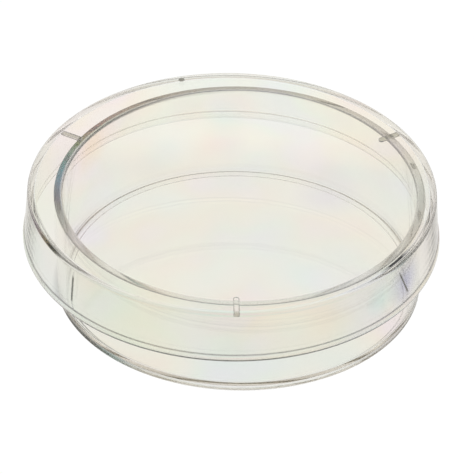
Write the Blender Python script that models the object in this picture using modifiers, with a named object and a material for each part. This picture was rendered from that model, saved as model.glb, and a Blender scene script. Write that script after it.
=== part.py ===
"""Small clear petri dish: a shallow turned dish with a loose, flared, vented lid over it.

Millimetre dimensions are turned into metres as the profiles are made. The lid's axis is the world Z axis
and the dish stands on z = 0. The dish sits a little off the lid's axis, because the lid is loose and has been
pushed until its skirt is almost against the dish at the back right.
"""
import math

import bmesh
import bpy
import numpy as np

MM = 0.001
STEPS = 64                      # facets round every turned shape
ARC = 3                         # facets in each small fillet

# How the lid rests on the dish
GAP = 0.3                       # air left between touching pieces
BASE_SHIFT = (1.08, 0.50)       # dish axis from the lid axis, along X and Y

# Dish
BASE_H = 15.2                   # height from the foot to the rim
BASE_R_RIM = 26.65              # outside radius at the rim
BASE_R_FOOT = 26.30             # outside radius at the foot
BASE_WALL = 1.25
BASE_FLOOR = 1.0                # inside floor above the resting plane
BASE_FILLET_IN = 0.5            # inside corner between wall and floor
BASE_FILLET_OUT = 0.5           # outside corner at the foot
RIM_ROUND = 0.25                # rounds on the outer and inner edges of the flat rim
RIM_ROUND_IN = 0.35
FOOT_R_IN = 24.4                # inside radius of the foot ring
FOOT_H = 0.25                   # height of the foot ring
SMALL_FILLET = 0.12

# Lid
RIB_H = 0.3                     # height of the vent ribs under the plate
LID_PLATE = 0.75
LID_R_TOP = 29.32               # outside radius at the top corner
LID_R_BOTTOM = 30.05            # outside radius of the skirt at its lower edge, over the bead
LID_SKIRT = 8.2                 # height of the lid from its lower edge to its flat top
LID_WALL_TOP = 0.95
LID_WALL_BOTTOM = 1.05
LID_CORNER = 0.5                # outside top corner
LID_CORNER_IN = 0.3
BEAD_H = 1.25                   # bead round the lower edge
BEAD_OUT = 0.18                 # how far the bead stands out of the skirt
EDGE_ROUND = 0.5                # rounds on the skirt's lower edge
RIB_W = 0.85
RIB_R_IN = 25.0                 # radius of the ribs' inner ends
RIB_ANGLES = (272.0, 32.5, 151.0)
GATE_ANGLE = 106.0              # round gate mark near the edge of the lid's top
GATE_R = 28.1
GATE_SIZE = 0.55                # its radius
GATE_H = 0.1                    # how far it stands above the lid's top

# Heights that follow
RIB_Z = BASE_H + GAP
PLATE_Z = RIB_Z + RIB_H
LID_TOP = PLATE_Z + LID_PLATE
SKIRT_Z = LID_TOP - LID_SKIRT

# Tints of the two clear mouldings
CLEAR_BASE = (0.96, 0.97, 0.95, 1.0)
CLEAR_LID = (0.97, 0.98, 0.96, 1.0)


def clear_scene():
    for obj in list(bpy.data.objects):
        bpy.data.objects.remove(obj, do_unlink=True)


def new_collection(name):
    collection = bpy.data.collections.new(name)
    bpy.context.scene.collection.children.link(collection)
    return collection


def clear_plastic(name, color):
    material = bpy.data.materials.new(name)
    material.use_nodes = True
    shader = material.node_tree.nodes["Principled BSDF"]
    shader.inputs["Base Color"].default_value = color
    shader.inputs["Roughness"].default_value = 0.03
    shader.inputs["IOR"].default_value = 1.59
    shader.inputs["Transmission Weight"].default_value = 1.0
    return material


def rounded_outline(corners):
    """Points (r, z) in mm of an open outline, each (r, z, fillet) corner turned into an arc."""
    points = []
    for i, (r, z, fillet) in enumerate(corners):
        corner = np.array((r, z))
        if fillet == 0:
            points.append(corner)
            continue
        back = np.array(corners[i - 1][:2]) - corner
        ahead = np.array(corners[i + 1][:2]) - corner
        back /= np.linalg.norm(back)
        ahead /= np.linalg.norm(ahead)
        half = math.acos(float(back @ ahead)) / 2
        reach = fillet / math.tan(half)
        centre = corner + (back + ahead) / np.linalg.norm(back + ahead) * fillet / math.sin(half)
        start = corner + back * reach - centre
        end = corner + ahead * reach - centre
        first = math.atan2(start[1], start[0])
        sweep = (math.atan2(end[1], end[0]) - first + math.pi) % (2 * math.pi) - math.pi
        for k in range(ARC + 1):
            angle = first + sweep * k / ARC
            points.append(centre + fillet * np.array((math.cos(angle), math.sin(angle))))
    return points


def turned(name, corners, collection, steps=STEPS):
    """A solid of revolution about Z, made by a Screw modifier from a profile at +X."""
    points = [(r * MM, 0.0, z * MM) for r, z in rounded_outline(corners)]
    mesh = bpy.data.meshes.new(name)
    mesh.from_pydata(points, [(i, i + 1) for i in range(len(points) - 1)], [])
    obj = bpy.data.objects.new(name, mesh)
    collection.objects.link(obj)
    screw = obj.modifiers.new("Turn", "SCREW")
    screw.axis = "Z"
    screw.angle = 2 * math.pi
    screw.steps = steps
    screw.render_steps = steps
    screw.use_merge_vertices = True
    screw.merge_threshold = 0.00001
    return obj


def place(obj, collection, location, turn_deg=0.0):
    obj.location = [v * MM for v in location]
    obj.rotation_euler = (0.0, 0.0, math.radians(turn_deg))
    obj.hide_render = True
    obj.display_type = "WIRE"
    return obj


def boolean(obj, tool, operation, label):
    modifier = obj.modifiers.new(label, "BOOLEAN")
    modifier.operation = operation
    modifier.solver = "EXACT"
    modifier.object = tool
    return modifier


def finish(obj, material):
    """Shade a node smooth across its fillets and give it its material."""
    obj.data.materials.append(material)
    bpy.context.view_layer.update()
    depsgraph = bpy.context.evaluated_depsgraph_get()
    mesh = bpy.data.meshes.new_from_object(obj.evaluated_get(depsgraph))
    mesh.name = obj.name
    obj.modifiers.clear()
    obj.data = mesh
    mesh.shade_smooth()
    mesh.set_sharp_from_angle(angle=math.radians(35))


def base_radius(z):
    """Outside radius of the dish's wall at a height, with its slight draft."""
    return BASE_R_FOOT + (BASE_R_RIM - BASE_R_FOOT) * z / BASE_H


def skirt_radius(z):
    """Outside radius of the flared skirt at a height, without the bead."""
    slope = (LID_R_BOTTOM - BEAD_OUT - LID_R_TOP) / LID_SKIRT
    return LID_R_TOP + slope * (LID_TOP - z)


def make_base(collection):
    return turned("dish_base", [
        (0.0, BASE_FLOOR, 0),
        (base_radius(BASE_FLOOR) - BASE_WALL, BASE_FLOOR, BASE_FILLET_IN),
        (BASE_R_RIM - BASE_WALL, BASE_H, RIM_ROUND_IN),
        (BASE_R_RIM, BASE_H, RIM_ROUND),
        (BASE_R_FOOT, 0.0, BASE_FILLET_OUT),
        (FOOT_R_IN, 0.0, SMALL_FILLET),
        (FOOT_R_IN - FOOT_H / 2, FOOT_H, SMALL_FILLET),
        (0.0, FOOT_H, 0),
    ], collection)


def make_lid(collection):
    bead_z = SKIRT_Z + BEAD_H
    return turned("lid", [
        (0.0, LID_TOP, 0),
        (LID_R_TOP, LID_TOP, LID_CORNER),
        (skirt_radius(bead_z), bead_z, 0.2),
        (skirt_radius(bead_z) + BEAD_OUT, bead_z - 0.3, 0.2),
        (LID_R_BOTTOM, SKIRT_Z, EDGE_ROUND),
        (LID_R_BOTTOM - BEAD_OUT - LID_WALL_BOTTOM, SKIRT_Z, EDGE_ROUND),
        (skirt_radius(PLATE_Z) - LID_WALL_TOP, PLATE_Z, LID_CORNER_IN),
        (0.0, PLATE_Z, 0),
    ], collection)


def merge_doubles(mesh):
    work = bmesh.new()
    work.from_mesh(mesh)
    bmesh.ops.remove_doubles(work, verts=work.verts, dist=1e-7)
    bmesh.ops.recalc_face_normals(work, faces=work.faces)
    work.to_mesh(mesh)
    work.free()


def make_rib(angle, cutters):
    """A round-ended bar under the plate, running out into the skirt."""
    outer = skirt_radius(PLATE_Z) - LID_WALL_TOP + 0.4
    centre = RIB_R_IN + RIB_W / 2
    half = RIB_W / 2
    outline = [(outer, -half), (outer, half)]
    for k in range(9):
        swing = math.pi / 2 + math.pi * k / 8
        outline.append((centre + half * math.cos(swing), half * math.sin(swing)))
    curve = bpy.data.curves.new("rib_outline", "CURVE")
    curve.dimensions = "2D"
    curve.fill_mode = "BOTH"
    curve.extrude = (RIB_H + 0.3) / 2 * MM
    spline = curve.splines.new("POLY")
    spline.points.add(len(outline) - 1)
    for point, (x, y) in zip(spline.points, outline):
        point.co = (x * MM, y * MM, 0.0, 1.0)
    spline.use_cyclic_u = True
    flat = bpy.data.objects.new("rib_curve", curve)
    cutters.objects.link(flat)
    bpy.context.view_layer.update()
    depsgraph = bpy.context.evaluated_depsgraph_get()
    mesh = bpy.data.meshes.new_from_object(flat.evaluated_get(depsgraph))
    bpy.data.objects.remove(flat, do_unlink=True)
    merge_doubles(mesh)
    rib = bpy.data.objects.new("rib_%03d" % angle, mesh)
    cutters.objects.link(rib)
    return place(rib, cutters, (0.0, 0.0, RIB_Z + (RIB_H + 0.3) / 2), angle)


def make_gate(cutters):
    """A low round pad where the plastic entered the mould."""
    angle = math.radians(GATE_ANGLE)
    gate = turned("gate_mark", [
        (0.0, LID_TOP + GATE_H, 0),
        (GATE_SIZE * 0.7, LID_TOP + GATE_H, 0),
        (GATE_SIZE, LID_TOP - 0.25, 0),
        (0.0, LID_TOP - 0.25, 0),
    ], cutters, 12)
    return place(gate, cutters, (GATE_R * math.cos(angle), GATE_R * math.sin(angle), 0.0))


def main():
    clear_scene()
    parts = new_collection("petri_dish")
    cutters = new_collection("petri_dish_cutters")
    cutters.hide_render = True

    base = make_base(parts)
    base.location = (BASE_SHIFT[0] * MM, BASE_SHIFT[1] * MM, 0.0)
    finish(base, clear_plastic("base_polystyrene", CLEAR_BASE))

    lid = make_lid(parts)
    for angle in RIB_ANGLES:
        boolean(lid, make_rib(angle, cutters), "UNION", "Rib %d" % angle)
    boolean(lid, make_gate(cutters), "UNION", "Gate mark")
    finish(lid, clear_plastic("lid_polystyrene", CLEAR_LID))


main()
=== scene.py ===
import math

import bmesh
import bpy
import numpy as np
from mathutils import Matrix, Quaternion, Vector


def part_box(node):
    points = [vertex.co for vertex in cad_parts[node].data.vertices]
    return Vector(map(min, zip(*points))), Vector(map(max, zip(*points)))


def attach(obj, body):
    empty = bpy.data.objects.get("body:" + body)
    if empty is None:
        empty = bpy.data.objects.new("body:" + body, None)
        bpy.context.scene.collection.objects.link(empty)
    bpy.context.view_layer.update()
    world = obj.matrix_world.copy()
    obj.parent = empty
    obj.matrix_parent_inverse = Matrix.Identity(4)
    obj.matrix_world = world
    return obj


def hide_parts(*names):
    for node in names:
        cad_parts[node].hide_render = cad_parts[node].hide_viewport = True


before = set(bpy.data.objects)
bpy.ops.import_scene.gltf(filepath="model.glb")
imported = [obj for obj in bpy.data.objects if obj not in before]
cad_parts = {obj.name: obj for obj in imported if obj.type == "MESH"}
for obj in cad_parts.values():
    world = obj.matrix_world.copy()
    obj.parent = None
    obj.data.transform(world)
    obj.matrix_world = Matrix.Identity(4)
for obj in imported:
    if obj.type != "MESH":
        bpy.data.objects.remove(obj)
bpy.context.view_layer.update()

MM = 0.001
SEGMENTS = 720                  # facets round each turned piece
ARC = 8                         # facets in each rounding
STRAIGHT_MIN = 0.05             # a straight run longer than this gets an extra point beside a rounding,
STRAIGHT_STEP = 0.02            # this far from it, in millimetres
SHARP_DEGREES = 30.0            # edges sharper than this stay sharp
LEVEL_NORMAL = 0.99999          # a face whose normal is this near the vertical is level

# ---- sizes in millimetres, taken from the frame where it gives them ----
base_lo, base_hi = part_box("dish_base")
lid_lo, lid_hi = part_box("lid")
BASE_X = (base_lo[0] + base_hi[0]) / 2 / MM
BASE_Y = (base_lo[1] + base_hi[1]) / 2 / MM
BASE_H = base_hi[2] / MM
BASE_R_RIM = (base_hi[0] - base_lo[0]) / 2 / MM
BASE_R_FOOT = 26.30
BASE_WALL = 1.25
BASE_FLOOR = 1.0
BASE_FILLET_IN = 0.5
BASE_FILLET_OUT = 0.5
RIM_ROUND = 0.25
RIM_ROUND_IN = 0.35
FOOT_R_IN = 24.4
FOOT_H = 0.25
SMALL_FILLET = 0.12

GATE_H = 0.1
LID_TOP = lid_hi[2] / MM - GATE_H
SKIRT_Z = lid_lo[2] / MM
LID_PLATE = 0.75
PLATE_Z = LID_TOP - LID_PLATE
RIB_H = 0.3
LID_R_TOP = 29.32
LID_R_BOTTOM = (lid_hi[0] - lid_lo[0]) / 2 / MM
LID_WALL_TOP = 0.95
LID_WALL_BOTTOM = 1.05
LID_CORNER = 0.5
LID_CORNER_IN = 0.3
BEAD_H = 1.25
BEAD_OUT = 0.18
BEAD_SLOPE = 0.3                # height over which the bead swells out of the skirt
BEAD_ROUND = 0.2
EDGE_ROUND = 0.5
RIB_W = 0.85
RIB_R_IN = 25.0
RIB_GAP = 0.12                  # air left between a rib's outer end and the skirt
RIB_SINK = 0.3                  # how far a rib reaches up into the plate it is joined to
RIB_ROUND = 0.12
RIB_END_STEPS = 12              # facets round a rib's inner end
RIB_ANGLES = (272.0, 32.5, 151.0)
GATE_ANGLE = 106.0
GATE_R = 28.1
GATE_SIZE = 0.55
GATE_TOP = 0.75                 # the gate mark's top radius, as a share of its foot's
GATE_ROUND = 0.08
GATE_SINK = 0.25
GATE_SEGMENTS = 32

# Room light: the brightness everywhere, and soft panels on top of it, each as
# (direction, cosine at its edge, cosine at its core, brightness at its core)
ROOM_LEVEL = 0.15
ROOM_PANELS = [
    ((0.0, 1.0, 0.55), 0.55, 0.85, 0.78),
    ((0.0, 0.2, 1.0), 0.7, 0.95, 0.4),
    ((0.0, -1.0, 0.45), 0.55, 0.85, 0.45),
    ((1.0, 0.0, 0.45), 0.55, 0.85, 0.4),
    ((-1.0, 0.0, 0.45), 0.55, 0.85, 0.4),
]
BOUNCES = 64

# Floor: half its side and its height in metres, and how bright it is by itself
FLOOR_HALF = 3.0
FLOOR_Z = -0.00004
FLOOR_WHITE = 1.02
# The light it gives the plastic: its colour, its level under the dish, and factors by (metres, factor) stops
FLOOR_COLOR = (1.0, 0.99, 0.965)
FLOOR_LEVEL = 0.95
FLOOR_BACK = [(0.028, 0.895), (0.036, 1.0)]         # by Y, a step up behind the dish
# The shade under the dish's wall, by distance from the dish's axis, and how deep it is by X from that axis:
# it lies only under the far left and the far right of the wall
SHADE_RING = [(0.0247, 0.0), (0.0252, 1.0), (0.0263, 1.0), (0.0272, 0.0)]
SHADE_SIDES = [(-0.0245, 0.3), (-0.021, 0.0), (0.021, 0.0), (0.0245, 0.3)]
# The light falls off slowly round an oval pool that reaches behind the dish
POOL = [(0.033, 1.0), (0.045, 0.85), (0.06, 0.77), (0.2, 0.75)]
POOL_CENTRE = (0.0, 0.025, 0.0)
POOL_SQUEEZE = (1.0, 0.5, 1.0)

# Camera: degrees, metres, and a lens and sensor in millimetres with the lens's shift
CAMERA_ELEVATION = 36.44
CAMERA_DISTANCE = 1.0
CAMERA_AIM_Z = 0.01
CAMERA_ROLL = 1.23
CAMERA_LENS = 528.57
CAMERA_SHIFT = (0.01175, -0.02173)
CAMERA_SENSOR = 36.0
CAMERA_CLIP = (0.01, 100.0)

# Plastic
IOR = 1.59
ABSORB_COLOR = (0.55, 0.48, 0.36)
ABSORB_DENSITY = 18.0
# Soft noise of stress colours, by the noise's value; each piece takes it from its own place
STRESS_SCALE = 70.0
STRESS_DETAIL = 1.0
STRESS_ROUGHNESS = 0.4
DISH_STRESS_OFFSET = (0.3, 0.1, 0.0)
LID_STRESS_OFFSET = (0.7, 0.4, 0.2)
STRESS_COLORS = [
    (0.30, (1.0, 0.95, 0.97)),
    (0.38, (1.0, 0.96, 0.91)),
    (0.46, (0.99, 0.985, 0.93)),
    (0.54, (0.98, 0.98, 0.945)),
    (0.62, (0.95, 0.985, 0.955)),
    (0.70, (0.95, 0.965, 0.99)),
]
# Stress colours and painted shade round the rim's outer part, inner edge and the flat between them, by the
# angle from the -X side; the near-black stops are painted shade. The bands are millimetres in from the wall's
# faces and down from the rim, each as (start, full).
RIM_INNER_BAND = (0.3, 0.15)
RIM_OUTER_BAND = (1.0, 0.8)
RIM_DEPTH = (0.5, 0.25)
RIM_OUTER_COLORS = [
    (-180.0, (0.75, 0.74, 0.68)),
    (-115.0, (0.40, 0.36, 0.28)),
    (-60.0, (0.12, 0.08, 0.04)),
    (-36.0, (0.08, 0.015, 0.01)),
    (-25.0, (0.025, 0.05, 0.001)),
    (-14.0, (0.002, 0.06, 0.04)),
    (-4.0, (0.004, 0.05, 0.12)),
    (6.0, (0.03, 0.02, 0.05)),
    (20.0, (0.45, 0.45, 0.45)),
    (34.0, (0.95, 0.95, 0.92)),
    (180.0, (0.75, 0.75, 0.70)),
]
RIM_INNER_COLORS = [
    (-90.0, (0.90, 0.89, 0.84)),
    (-52.0, (0.20, 0.17, 0.15)),
    (-14.0, (0.15, 0.20, 0.18)),
    (8.0, (1.0, 1.0, 1.0)),
]
RIM_FLAT_COLORS = [
    (-60.0, (1.0, 0.96, 0.94)),
    (-30.0, (0.90, 1.0, 0.75)),
    (-10.0, (0.45, 0.65, 0.70)),
    (8.0, (0.50, 0.62, 1.0)),
    (16.0, (1.0, 1.0, 1.0)),
]
# Painted shade with some stress colour in the lid's outer corner, by the angle from the lid's -X side: a dark
# wedge on the left and a grey patch on the right
CORNER_DEPTH = (0.6, 0.4)
CORNER_BAND = (0.35, 0.25)
CORNER_COLORS = [
    (8.0, (1.0, 1.0, 1.0)),
    (18.0, (0.45, 0.36, 0.44)),
    (25.0, (0.25, 0.17, 0.08)),
    (29.0, (0.01, 0.01, 0.003)),
    (32.0, (0.05, 0.05, 0.03)),
    (36.0, (0.85, 0.85, 0.80)),
    (138.0, (1.0, 1.0, 1.0)),
    (146.0, (0.35, 0.42, 0.42)),
    (154.0, (1.0, 1.0, 1.0)),
]
# Painted shade: a dark line just inside the lid's edge, by the same angle; its band is (start, full, full,
# end)
INSIDE_DEPTH = (0.2, 0.1)
INSIDE_BAND = (1.1, 1.0, 0.65, 0.55)
INSIDE_LINE = [(137.0, 1.0), (142.0, 0.0), (148.0, 0.0), (155.0, 1.0)]
# Stress colours and painted shade in the dish's outer lower corner, by the angle from the dish's -X side; the
# near-black stops paint the dark outline of that corner
FOOT_HEIGHT = (1.5, 1.0)
FOOT_BAND = (0.5, 0.3)
FOOT_COLORS = [
    (12.0, (1.0, 1.0, 1.0)),
    (22.0, (0.01, 0.01, 0.005)),
    (40.0, (0.02, 0.02, 0.015)),
    (50.0, (0.14, 0.22, 0.22)),
    (62.0, (0.60, 0.60, 0.58)),
    (80.0, (1.0, 1.0, 1.0)),
    (120.0, (1.0, 1.0, 1.0)),
    (140.0, (0.45, 0.45, 0.45)),
]
# Faint coloured patches, as (centre in millimetres, radius in millimetres, colour)
DISH_PATCHES = [
    ((-21.0, 14.0, 13.0), 4.5, (1.0, 0.90, 0.74)),
    ((-19.0, 17.0, 14.0), 4.0, (1.0, 0.93, 0.98)),
    ((-17.5, 20.5, 14.5), 3.5, (0.92, 1.0, 0.92)),
    ((-11.0, 22.5, 4.5), 4.5, (0.93, 0.97, 1.0)),
    ((-4.0, 25.0, 5.5), 3.5, (1.0, 0.95, 0.96)),
    ((-0.5, 25.5, 5.5), 3.5, (0.94, 0.94, 1.0)),
    ((-1.5, 26.5, 10.0), 4.0, (0.90, 1.0, 0.95)),
    ((-7.0, 25.0, 12.0), 3.5, (1.0, 0.94, 0.95)),
    ((14.0, 20.0, 1.0), 6.0, (0.93, 0.90, 1.0)),
    ((1.0, -8.0, 1.0), 7.0, (1.0, 0.94, 0.94)),
    ((0.0, -17.0, 1.0), 5.0, (0.93, 1.0, 0.98)),
]
LID_PATCHES = [
    ((25.0, -16.0, 13.0), 4.5, (0.58, 0.61, 0.86)),
    ((21.5, -20.5, 12.5), 3.0, (0.85, 1.0, 1.0)),
    ((0.0, -29.0, 12.0), 6.0, (0.97, 1.0, 0.99)),
    ((14.0, -26.0, 12.0), 5.0, (1.0, 0.96, 0.94)),
    ((-14.0, -26.0, 12.0), 9.0, (0.98, 1.0, 0.93)),
    ((-28.0, -5.0, 12.0), 8.0, (0.97, 1.0, 0.90)),
]
# Painted shade: fine dark lines on the front of the skirt's lower edge, by height above that edge, and on the
# bead's top, by height above that; they stand in for the dark look of the rounded edges
EDGE_LINE = [(0.42, 0.03), (0.6, 1.0)]
BEAD_LINE = [(-0.2, 1.0), (-0.1, 0.3), (0.0, 0.3), (0.1, 1.0)]
EDGE_BAND = (0.7, 0.5)
EDGE_FRONT = (0.0, 0.01)        # metres along Y over which the lines fade out towards the back
# Two upright lines of painted shade on the skirt's outside, where refraction shows dark lines, each as (the
# angle where the line would reach z = 0, its lean in degrees per millimetre). The height band below is
# (start, full, full, end).
PAINTED_SHADE_LINES = [(41.1, 0.0), (157.4, 0.86)]
SHADE_LINE_WIDTH = (0.5, 0.25)        # degrees to each side
SHADE_LINE_BAND = (0.3, 0.2)
SHADE_LINE_HEIGHT = (10.5, 11.0, 14.7, 15.4)
SHADE_LINE_COLOR = (0.06, 0.06, 0.05)
# Painted shade on the ribs. The two side ribs are darker all over, and every rib's inner end is dark.
RIB_UNDER = (0.02, 0.04)        # millimetres below the plate's underside, as (start, full)
RIB_REACH = (28.3, 28.2)        # radius, which leaves out the skirt
RIB_BEHIND = (0.0, 0.001)       # metres along Y, which leaves out the front rib
RIB_COLOR = (0.30, 0.29, 0.22)
RIB_END_BAND = (0.5, 0.4)       # millimetres out from the ribs' inner ends
RIB_END_HEIGHT = (0.02, 0.05)   # millimetres above the ribs' undersides
RIB_END_COLOR = (0.02, 0.02, 0.015)
# Painted shade on the gate mark: its top is darkened, as its small rounding looks dark
GATE_HEIGHT = (0.02, 0.04)      # millimetres above the lid's top
GATE_COLOR = (0.12, 0.12, 0.10)


def rounded_outline(corners):
    """Points (r, z) of an outline with each (r, z, fillet) corner an arc, and a point just outside each arc.
    Those extra points keep the smooth shading of the long walls flat right up to the fillets."""
    points = []
    for i, (r, z, fillet) in enumerate(corners):
        corner = np.array((r, z))
        if fillet == 0:
            points.append(corner)
            continue
        back = np.array(corners[i - 1][:2]) - corner
        ahead = np.array(corners[i + 1][:2]) - corner
        room_back = np.linalg.norm(back)
        room_ahead = np.linalg.norm(ahead)
        back /= room_back
        ahead /= room_ahead
        half = math.acos(float(back @ ahead)) / 2
        reach = fillet / math.tan(half)
        centre = corner + (back + ahead) / np.linalg.norm(back + ahead) * fillet / math.sin(half)
        start = corner + back * reach - centre
        end = corner + ahead * reach - centre
        first = math.atan2(start[1], start[0])
        sweep = (math.atan2(end[1], end[0]) - first + math.pi) % (2 * math.pi) - math.pi
        if room_back - reach > STRAIGHT_MIN:
            points.append(corner + back * (reach + STRAIGHT_STEP))
        for k in range(ARC + 1):
            angle = first + sweep * k / ARC
            points.append(centre + fillet * np.array((math.cos(angle), math.sin(angle))))
        if room_ahead - reach > STRAIGHT_MIN:
            points.append(corner + ahead * (reach + STRAIGHT_STEP))
    return points


def turned(name, corners, segments=SEGMENTS, centre=(0.0, 0.0)):
    """A closed solid of revolution about a vertical axis through centre."""
    work = bmesh.new()
    rings = []
    for r, z in rounded_outline(corners):
        count = 1 if r < 1e-6 else segments
        ring = []
        for k in range(count):
            angle = 2 * math.pi * k / segments
            x = centre[0] + r * math.cos(angle)
            y = centre[1] + r * math.sin(angle)
            ring.append(work.verts.new((x * MM, y * MM, z * MM)))
        rings.append(ring)
    for a, b in zip(rings[:-1], rings[1:]):
        for k in range(segments):
            j = (k + 1) % segments
            if len(a) == 1:
                work.faces.new((a[0], b[k], b[j]))
            elif len(b) == 1:
                work.faces.new((a[j], a[k], b[0]))
            else:
                work.faces.new((a[j], a[k], b[k], b[j]))
    bmesh.ops.recalc_face_normals(work, faces=work.faces)
    return mesh_object(name, work)


def mesh_object(name, work):
    """An object in the scene from a bmesh, shaded smooth across its roundings."""
    mesh = bpy.data.meshes.new(name)
    work.to_mesh(mesh)
    work.free()
    mesh.shade_smooth()
    mesh.set_sharp_from_angle(angle=math.radians(SHARP_DEGREES))
    flatten_level_faces(mesh)
    obj = bpy.data.objects.new(name, mesh)
    bpy.context.scene.collection.objects.link(obj)
    return obj


def flatten_level_faces(mesh):
    """Level faces are shaded flat, so that no fillet bends the look of a wide flat plate."""
    for face in mesh.polygons:
        if abs(face.normal.z) > LEVEL_NORMAL:
            face.use_smooth = False


def join(target, tools):
    """Joins the tools' solids into the target, so that no inner faces are left to bend light."""
    for tool in tools:
        modifier = target.modifiers.new("join", "BOOLEAN")
        modifier.operation = "UNION"
        modifier.solver = "MANIFOLD"
        modifier.object = tool
    bpy.context.view_layer.update()
    depsgraph = bpy.context.evaluated_depsgraph_get()
    mesh = bpy.data.meshes.new_from_object(target.evaluated_get(depsgraph))
    flatten_level_faces(mesh)
    target.modifiers.clear()
    target.data = mesh
    for tool in tools:
        bpy.data.objects.remove(tool, do_unlink=True)


def base_radius(z):
    """Outside radius of the dish's wall at a height, with its slight draft."""
    return BASE_R_FOOT + (BASE_R_RIM - BASE_R_FOOT) * z / BASE_H


def skirt_radius(z):
    """Outside radius of the flared skirt at a height, without the bead."""
    slope = (LID_R_BOTTOM - BEAD_OUT - LID_R_TOP) / (LID_TOP - SKIRT_Z)
    return LID_R_TOP + slope * (LID_TOP - z)


def make_base():
    return turned("dish_shell", [
        (0.0, BASE_FLOOR, 0),
        (base_radius(BASE_FLOOR) - BASE_WALL, BASE_FLOOR, BASE_FILLET_IN),
        (BASE_R_RIM - BASE_WALL, BASE_H, RIM_ROUND_IN),
        (BASE_R_RIM, BASE_H, RIM_ROUND),
        (BASE_R_FOOT, 0.0, BASE_FILLET_OUT),
        (FOOT_R_IN, 0.0, SMALL_FILLET),
        (FOOT_R_IN - FOOT_H / 2, FOOT_H, SMALL_FILLET),
        (0.0, FOOT_H, 0),
    ], centre=(BASE_X, BASE_Y))


def make_lid():
    bead_z = SKIRT_Z + BEAD_H
    lid = turned("lid_shell", [
        (0.0, LID_TOP, 0),
        (LID_R_TOP, LID_TOP, LID_CORNER),
        (skirt_radius(bead_z), bead_z, BEAD_ROUND),
        (skirt_radius(bead_z) + BEAD_OUT, bead_z - BEAD_SLOPE, BEAD_ROUND),
        (LID_R_BOTTOM, SKIRT_Z, EDGE_ROUND),
        (LID_R_BOTTOM - BEAD_OUT - LID_WALL_BOTTOM, SKIRT_Z, EDGE_ROUND),
        (skirt_radius(PLATE_Z) - LID_WALL_TOP, PLATE_Z, LID_CORNER_IN),
        (0.0, PLATE_Z, 0),
    ])
    tools = [make_rib(angle) for angle in RIB_ANGLES]
    tools.append(make_gate())
    join(lid, tools)
    return lid


def make_rib(turn_deg):
    """A bar under the plate with a round inner end and soft lower edges, ending just short of the skirt."""
    outer = skirt_radius(PLATE_Z) - LID_WALL_TOP - RIB_GAP
    half = RIB_W / 2
    centre = RIB_R_IN + half
    outline = [(outer, -half), (outer, half)]
    for k in range(RIB_END_STEPS + 1):
        swing = math.pi / 2 + math.pi * k / RIB_END_STEPS
        outline.append((centre + half * math.cos(swing), half * math.sin(swing)))
    turn = math.radians(turn_deg)
    low = (PLATE_Z - RIB_H) * MM
    high = (PLATE_Z + RIB_SINK) * MM
    work = bmesh.new()
    top = []
    bottom = []
    for x, y in outline:
        u = (x * math.cos(turn) - y * math.sin(turn)) * MM
        v = (x * math.sin(turn) + y * math.cos(turn)) * MM
        top.append(work.verts.new((u, v, high)))
        bottom.append(work.verts.new((u, v, low)))
    work.faces.new(top)
    work.faces.new(list(reversed(bottom)))
    for k in range(len(top)):
        j = (k + 1) % len(top)
        work.faces.new((top[k], bottom[k], bottom[j], top[j]))
    bmesh.ops.recalc_face_normals(work, faces=work.faces)
    lower = [e for e in work.edges if all(v.co.z < low + 1e-6 for v in e.verts)]
    bmesh.ops.bevel(work, geom=lower, offset=RIB_ROUND * MM, segments=3, profile=0.5, affect="EDGES")
    return mesh_object("rib", work)


def make_gate():
    """A low round pad where the plastic entered the mould."""
    angle = math.radians(GATE_ANGLE)
    return turned("gate", [
        (0.0, LID_TOP + GATE_H, 0),
        (GATE_SIZE * GATE_TOP, LID_TOP + GATE_H, GATE_ROUND),
        (GATE_SIZE, LID_TOP - GATE_SINK, 0),
        (0.0, LID_TOP - GATE_SINK, 0),
    ], GATE_SEGMENTS, (GATE_R * math.cos(angle), GATE_R * math.sin(angle)))


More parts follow.
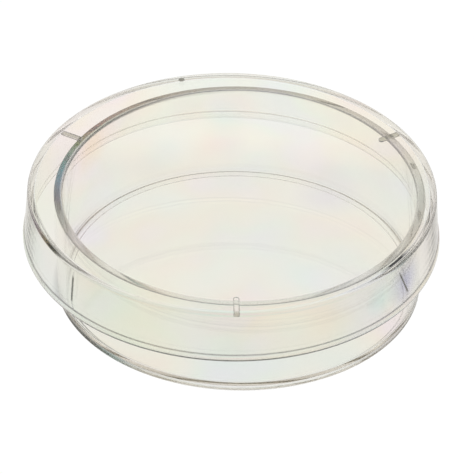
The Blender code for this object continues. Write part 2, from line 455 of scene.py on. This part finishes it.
# ---- materials ----
class Nodes:
    """Small helpers for building one node tree."""

    def __init__(self, tree):
        self.tree = tree

    def put(self, socket, value):
        """Links an output to a socket, or sets the socket's own value."""
        if isinstance(value, bpy.types.NodeSocket):
            self.tree.links.new(value, socket)
        else:
            socket.default_value = value

    def add(self, kind, **settings):
        node = self.tree.nodes.new(kind)
        for name, value in settings.items():
            setattr(node, name, value)
        return node

    def math(self, operation, a, b=0.0):
        node = self.add("ShaderNodeMath", operation=operation)
        self.put(node.inputs[0], a)
        self.put(node.inputs[1], b)
        return node.outputs["Value"]

    def vector(self, operation, a, b=(0.0, 0.0, 0.0)):
        node = self.add("ShaderNodeVectorMath", operation=operation)
        self.put(node.inputs[0], a)
        self.put(node.inputs[1], b)
        return node.outputs["Value" if operation in ("LENGTH", "DOT_PRODUCT") else "Vector"]

    def split(self, vector):
        node = self.add("ShaderNodeSeparateXYZ")
        self.put(node.inputs[0], vector)
        return node.outputs

    def mix(self, factor, a, b, blend="MIX"):
        node = self.add("ShaderNodeMix", data_type="RGBA", blend_type=blend)
        self.put(node.inputs["Factor"], factor)
        self.put(node.inputs["A"], a)
        self.put(node.inputs["B"], b)
        return node.outputs["Result"]

    def ramp(self, value, stops):
        """A level or a colour that changes along a value, by (value, level or colour) stops."""
        first = stops[0][0]
        last = stops[-1][0]
        part = self.add("ShaderNodeMapRange")
        part.inputs["From Min"].default_value = first
        part.inputs["From Max"].default_value = last
        self.put(part.inputs["Value"], value)
        node = self.add("ShaderNodeValToRGB")
        self.put(node.inputs["Fac"], part.outputs["Result"])
        elements = node.color_ramp.elements
        for k, (place, level) in enumerate(stops):
            share = (place - first) / (last - first)
            stop = elements[k] if k < 2 else elements.new(share)
            stop.position = share
            color = level if isinstance(level, tuple) else (level, level, level)
            stop.color = (*color, 1.0)
        return node.outputs["Color"]

    def rise(self, value, start, full):
        """0 up to start, 1 from full on."""
        return self.ramp(value, [(start, 0.0), (full, 1.0)])

    def fall(self, value, full, end):
        """1 up to full, 0 from end on."""
        return self.ramp(value, [(full, 1.0), (end, 0.0)])

    def band(self, value, start, full, still_full, end):
        """1 between full and still_full, 0 outside start and end."""
        return self.ramp(value, [(start, 0.0), (full, 1.0), (still_full, 1.0), (end, 0.0)])

    def both(self, a, b):
        """The product of two masks."""
        return self.math("MULTIPLY", a, b)


def stress_tint(nodes, position, offset):
    """Soft pastel patches, as moulding stress gives clear polystyrene."""
    noise = nodes.add("ShaderNodeTexNoise")
    noise.inputs["Scale"].default_value = STRESS_SCALE
    noise.inputs["Detail"].default_value = STRESS_DETAIL
    noise.inputs["Roughness"].default_value = STRESS_ROUGHNESS
    nodes.put(noise.inputs["Vector"], nodes.vector("ADD", position, offset))
    return nodes.ramp(noise.outputs["Fac"], STRESS_COLORS)


def add_patches(nodes, position, tint, patches):
    """Multiplies soft round patches of colour into a tint."""
    for centre, radius, color in patches:
        from_centre = nodes.vector("SUBTRACT", position, tuple(v * MM for v in centre))
        strength = nodes.fall(nodes.vector("LENGTH", from_centre), 0.0, radius * MM)
        tint = nodes.mix(strength, tint, (*color, 1.0), "MULTIPLY")
    return tint


def clear_plastic(name, offset, paint):
    """Clear polystyrene; paint adds the tints that belong to one piece's shape."""
    material = bpy.data.materials.new(name)
    material.use_nodes = True
    shader = material.node_tree.nodes["Principled BSDF"]
    shader.inputs["Transmission Weight"].default_value = 1.0
    shader.inputs["Roughness"].default_value = 0.0
    shader.inputs["IOR"].default_value = IOR
    nodes = Nodes(material.node_tree)
    position = nodes.add("ShaderNodeTexCoord").outputs["Object"]
    tint = paint(nodes, position, stress_tint(nodes, position, offset))
    nodes.put(shader.inputs["Base Color"], tint)
    absorb = nodes.add("ShaderNodeVolumeAbsorption")
    absorb.inputs["Color"].default_value = (*ABSORB_COLOR, 1.0)
    absorb.inputs["Density"].default_value = ABSORB_DENSITY
    nodes.put(material.node_tree.nodes["Material Output"].inputs["Volume"], absorb.outputs["Volume"])
    return material


def polar(nodes, position, centre):
    """Angle in degrees from a centre's -X side, radius and height, in the object's own space."""
    from_axis = nodes.vector("SUBTRACT", position, (centre[0] * MM, centre[1] * MM, 0.0))
    flipped = nodes.split(nodes.vector("MULTIPLY", from_axis, (-1.0, -1.0, 1.0)))
    angle = nodes.math("MULTIPLY", nodes.math("ARCTAN2", flipped[1], flipped[0]), 180 / math.pi)
    radius = nodes.vector("LENGTH", nodes.vector("MULTIPLY", from_axis, (1.0, 1.0, 0.0)))
    return angle, nodes.math("MULTIPLY", radius, 1 / MM), nodes.math("MULTIPLY", flipped[2], 1 / MM)


def paint_dish(nodes, position, tint):
    """Coloured patches, and stress colours with painted shade along the rim and in the outer lower corner."""
    angle, radius, z = polar(nodes, position, (BASE_X, BASE_Y))
    tint = add_patches(nodes, position, tint, DISH_PATCHES)
    r_in = BASE_R_RIM - BASE_WALL
    inner = nodes.fall(radius, r_in + RIM_INNER_BAND[1], r_in + RIM_INNER_BAND[0])
    outer = nodes.rise(radius, BASE_R_RIM - RIM_OUTER_BAND[0], BASE_R_RIM - RIM_OUTER_BAND[1])
    # The rim: stress colours with painted shade, darkest where the rim looks dark on its left
    rim = nodes.mix(inner, nodes.ramp(angle, RIM_FLAT_COLORS), nodes.ramp(angle, RIM_INNER_COLORS))
    rim = nodes.mix(outer, rim, nodes.ramp(angle, RIM_OUTER_COLORS))
    near_top = nodes.rise(z, BASE_H - RIM_DEPTH[0], BASE_H - RIM_DEPTH[1])
    tint = nodes.mix(near_top, tint, rim)
    # The outer lower corner: painted shade, a dark outline, with a little stress colour
    foot = nodes.both(nodes.fall(z, FOOT_HEIGHT[1], FOOT_HEIGHT[0]),
                      nodes.rise(radius, BASE_R_FOOT - FOOT_BAND[0], BASE_R_FOOT - FOOT_BAND[1]))
    return nodes.mix(foot, tint, nodes.ramp(angle, FOOT_COLORS))


def paint_lid(nodes, position, tint):
    """Coloured patches, then stress colours and painted shade on the lid's edges, upright painted shade lines
    on the skirt, and painted shade on the ribs and gate mark.
    """
    angle, radius, z = polar(nodes, position, (0.0, 0.0))
    y = nodes.split(position)["Y"]
    tint = add_patches(nodes, position, tint, LID_PATCHES)
    tint = paint_lid_corner(nodes, angle, radius, z, tint)
    tint = paint_skirt_edge(nodes, y, radius, z, tint)
    # Upright lines of painted shade on the skirt's outside
    tint = paint_shade_lines(nodes, angle, radius, z, tint)
    tint = paint_ribs(nodes, y, radius, z, tint)
    # Painted shade: the gate mark's top darkened
    gate = nodes.rise(z, LID_TOP + GATE_HEIGHT[0], LID_TOP + GATE_HEIGHT[1])
    return nodes.mix(gate, tint, (*GATE_COLOR, 1.0))


def paint_lid_corner(nodes, angle, radius, z, tint):
    """Painted shade with some stress colour in the outer top corner, and a painted dark line just inside it.
    """
    corner = nodes.both(nodes.rise(z, LID_TOP - CORNER_DEPTH[0], LID_TOP - CORNER_DEPTH[1]),
                        nodes.rise(radius, LID_R_TOP - CORNER_BAND[0], LID_R_TOP - CORNER_BAND[1]))
    # Painted shade, with some stress colour, in the outer corner
    tint = nodes.mix(corner, tint, nodes.ramp(angle, CORNER_COLORS))
    # Painted shade: a dark line just inside the lid's edge
    inside = nodes.both(nodes.rise(z, LID_TOP - INSIDE_DEPTH[0], LID_TOP - INSIDE_DEPTH[1]),
                        nodes.band(radius, *(LID_R_TOP - inset for inset in INSIDE_BAND)))
    return nodes.mix(inside, tint, nodes.ramp(angle, INSIDE_LINE), "MULTIPLY")


def paint_skirt_edge(nodes, y, radius, z, tint):
    """Painted shade: fine dark lines on the front of the skirt's lower edge and of the bead's top."""
    bead_z = SKIRT_Z + BEAD_H
    stops = [(SKIRT_Z + height, level) for height, level in EDGE_LINE]
    stops += [(bead_z + height, level) for height, level in BEAD_LINE]
    # Painted shade lines on the lower edge and the bead's top
    lines = nodes.ramp(z, stops)
    outside = nodes.both(nodes.rise(radius, LID_R_BOTTOM - EDGE_BAND[0], LID_R_BOTTOM - EDGE_BAND[1]),
                         nodes.fall(y, *EDGE_FRONT))
    return nodes.mix(outside, tint, lines, "MULTIPLY")


def paint_shade_lines(nodes, angle, radius, z, tint):
    """Painted shade: dark upright lines on the skirt's outside, standing in for dark refraction lines."""
    upright = nodes.both(nodes.rise(radius, LID_R_TOP - SHADE_LINE_BAND[0], LID_R_TOP - SHADE_LINE_BAND[1]),
                         nodes.band(z, *SHADE_LINE_HEIGHT))
    wide, narrow = SHADE_LINE_WIDTH
    # Each line is painted shade, leaning with height
    for reach, lean in PAINTED_SHADE_LINES:
        along = nodes.math("ADD", angle, nodes.math("MULTIPLY", z, lean))
        mark = nodes.band(along, reach - wide, reach - narrow, reach + narrow, reach + wide)
        tint = nodes.mix(nodes.both(mark, upright), tint, (*SHADE_LINE_COLOR, 1.0))
    return tint


def paint_ribs(nodes, y, radius, z, tint):
    """Painted shade: darker side ribs, and a dark inner end on every rib."""
    under = nodes.both(nodes.fall(z, PLATE_Z - RIB_UNDER[1], PLATE_Z - RIB_UNDER[0]),
                       nodes.fall(radius, RIB_REACH[1], RIB_REACH[0]))
    side_ribs = nodes.both(under, nodes.rise(y, *RIB_BEHIND))
    # Painted shade on the side ribs
    tint = nodes.mix(side_ribs, tint, (*RIB_COLOR, 1.0))
    rib_z = PLATE_Z - RIB_H
    ends = nodes.both(nodes.fall(radius, RIB_R_IN + RIB_END_BAND[1], RIB_R_IN + RIB_END_BAND[0]),
                      nodes.rise(z, rib_z + RIB_END_HEIGHT[0], rib_z + RIB_END_HEIGHT[1]))
    return nodes.mix(nodes.both(ends, under), tint, (*RIB_END_COLOR, 1.0))


def make_floor():
    """A plain pale floor. It looks white by itself, and lights the plastic most from under the dish."""
    mesh = bpy.data.meshes.new("studio_floor")
    corners = [(-1, -1), (1, -1), (1, 1), (-1, 1)]
    mesh.from_pydata([(x * FLOOR_HALF, y * FLOOR_HALF, FLOOR_Z) for x, y in corners], [], [(0, 1, 2, 3)])
    floor = bpy.data.objects.new("studio_floor", mesh)
    bpy.context.scene.collection.objects.link(floor)
    material = bpy.data.materials.new("studio_floor")
    material.use_nodes = True
    shader = material.node_tree.nodes["Principled BSDF"]
    shader.inputs["Base Color"].default_value = (0.0, 0.0, 0.0, 1.0)
    shader.inputs["Roughness"].default_value = 1.0
    shader.inputs["Specular IOR Level"].default_value = 0.0
    shader.inputs["Emission Strength"].default_value = 1.0
    nodes = Nodes(material.node_tree)
    position = nodes.add("ShaderNodeNewGeometry").outputs["Position"]
    from_axis = nodes.vector("SUBTRACT", position, (BASE_X * MM, BASE_Y * MM, 0.0))
    ring = nodes.ramp(nodes.vector("LENGTH", from_axis), SHADE_RING)
    side = nodes.ramp(nodes.split(from_axis)["X"], SHADE_SIDES)
    shade = nodes.both(ring, nodes.math("MULTIPLY", side, FLOOR_LEVEL))
    unshaded = nodes.math("SUBTRACT", FLOOR_LEVEL, shade)
    from_pool = nodes.vector("MULTIPLY", nodes.vector("SUBTRACT", position, POOL_CENTRE), POOL_SQUEEZE)
    glow = nodes.both(unshaded, nodes.ramp(nodes.vector("LENGTH", from_pool), POOL))
    glow = nodes.both(glow, nodes.ramp(nodes.split(position)["Y"], FLOOR_BACK))
    lit = nodes.mix(glow, (0.0, 0.0, 0.0, 1.0), (*FLOOR_COLOR, 1.0))
    white = (FLOOR_WHITE, FLOOR_WHITE, FLOOR_WHITE, 1.0)
    seen = nodes.mix(nodes.add("ShaderNodeLightPath").outputs["Is Camera Ray"], lit, white)
    nodes.put(shader.inputs["Emission Color"], seen)
    mesh.materials.append(material)


def make_world():
    """A dim room with soft panels of light, each a smooth spot round a direction."""
    world = bpy.data.worlds.new("studio")
    bpy.context.scene.world = world
    world.use_nodes = True
    nodes = Nodes(world.node_tree)
    looking = nodes.add("ShaderNodeTexCoord").outputs["Generated"]
    total = ROOM_LEVEL
    for direction, edge, core, level in ROOM_PANELS:
        cosine = nodes.vector("DOT_PRODUCT", looking, Vector(direction).normalized())
        spot = nodes.add("ShaderNodeMapRange", interpolation_type="SMOOTHSTEP")
        spot.inputs["From Min"].default_value = edge
        spot.inputs["From Max"].default_value = core
        spot.inputs["To Max"].default_value = level
        nodes.put(spot.inputs["Value"], cosine)
        total = nodes.math("ADD", spot.outputs["Result"], total)
    background = world.node_tree.nodes["Background"]
    background.inputs["Color"].default_value = (1.0, 1.0, 1.0, 1.0)
    nodes.put(background.inputs["Strength"], total)


def make_camera():
    elevation = math.radians(CAMERA_ELEVATION)
    data = bpy.data.cameras.new("camera")
    camera = bpy.data.objects.new("camera", data)
    bpy.context.scene.collection.objects.link(camera)
    camera.location = (0.0, -math.cos(elevation) * CAMERA_DISTANCE,
                       CAMERA_AIM_Z + math.sin(elevation) * CAMERA_DISTANCE)
    forward = Vector((0.0, math.cos(elevation), -math.sin(elevation)))
    camera.rotation_mode = "QUATERNION"
    roll = Quaternion((0, 0, 1), math.radians(CAMERA_ROLL))
    camera.rotation_quaternion = forward.to_track_quat("-Z", "Y") @ roll
    data.sensor_width = CAMERA_SENSOR
    data.lens = CAMERA_LENS
    data.shift_x, data.shift_y = CAMERA_SHIFT
    data.clip_start, data.clip_end = CAMERA_CLIP
    bpy.context.scene.camera = camera


base = make_base()
base.data.materials.append(clear_plastic("dish_polystyrene", DISH_STRESS_OFFSET, paint_dish))
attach(base, "dish")
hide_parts("dish_base")

lid = make_lid()
lid.data.materials.clear()
lid.data.materials.append(clear_plastic("cover_polystyrene", LID_STRESS_OFFSET, paint_lid))
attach(lid, "lid")
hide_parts("lid")

make_floor()
make_world()
make_camera()
light_paths = bpy.context.scene.cycles
light_paths.max_bounces = BOUNCES
light_paths.transmission_bounces = BOUNCES
light_paths.glossy_bounces = BOUNCES
bpy.context.scene.view_settings.view_transform = "Standard"
